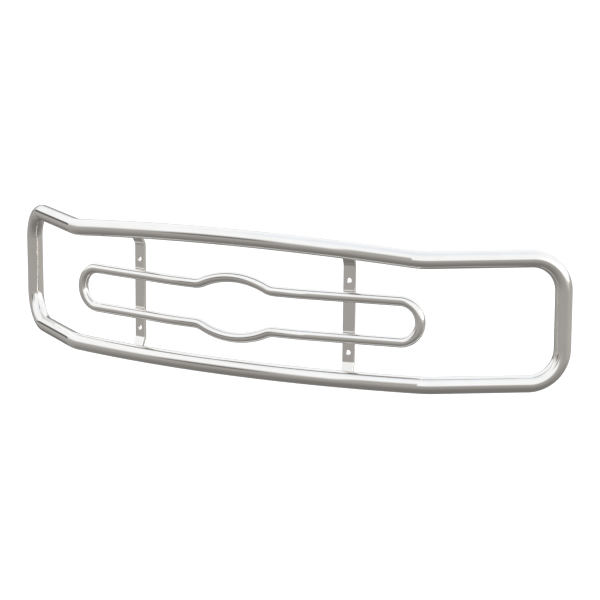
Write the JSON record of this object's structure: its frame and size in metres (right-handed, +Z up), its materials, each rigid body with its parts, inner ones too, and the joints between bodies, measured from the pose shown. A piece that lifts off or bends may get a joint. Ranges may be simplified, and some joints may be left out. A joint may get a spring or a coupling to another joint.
{
  "type": "front grille guard",
  "caption": "Polished tube hoop with swept-back ends, an inner ring with a raised middle, and drilled straps behind for bolting to a truck front.",
  "frame": {"origin": "centre of the guard's bounding box", "axes": "+X along the guard's width, to the right as seen from in front of the truck; +Y backwards, towards the truck; +Z up"},
  "size_m": [1.8642, 0.367, 0.443],
  "materials": {
    "polished_tube": "mirror-polished stainless steel tube",
    "polished_strap": "polished stainless steel flat bar, with faint lengthwise polishing lines",
    "weld_bead": "cleaned weld bead, lightly rippled",
    "sleeve_steel": "plain drawn steel, inside the tubes"
  },
  "bodies": {
    "root": {"hoop_upper_tube": "polished_tube", "hoop_lower_tube": "polished_tube", "ring_upper_tube": "polished_tube", "ring_lower_tube": "polished_tube", "strap_left": "polished_strap", "hoop_left_sleeve": "sleeve_steel", "hoop_left_butt_weld": "polished_tube", "ring_left_sleeve": "sleeve_steel", "ring_left_butt_weld": "polished_tube", "weld_ring_upper_left": "weld_bead", "weld_ring_lower_left": "weld_bead", "weld_hoop_upper_left": "weld_bead", "weld_hoop_lower_left": "weld_bead", "strap_right": "polished_strap", "hoop_right_sleeve": "sleeve_steel", "hoop_right_butt_weld": "polished_tube", "ring_right_sleeve": "sleeve_steel", "ring_right_butt_weld": "polished_tube", "weld_ring_upper_right": "weld_bead", "weld_ring_lower_right": "weld_bead", "weld_hoop_upper_right": "weld_bead", "weld_hoop_lower_right": "weld_bead"}
  },
  "joints": []
}
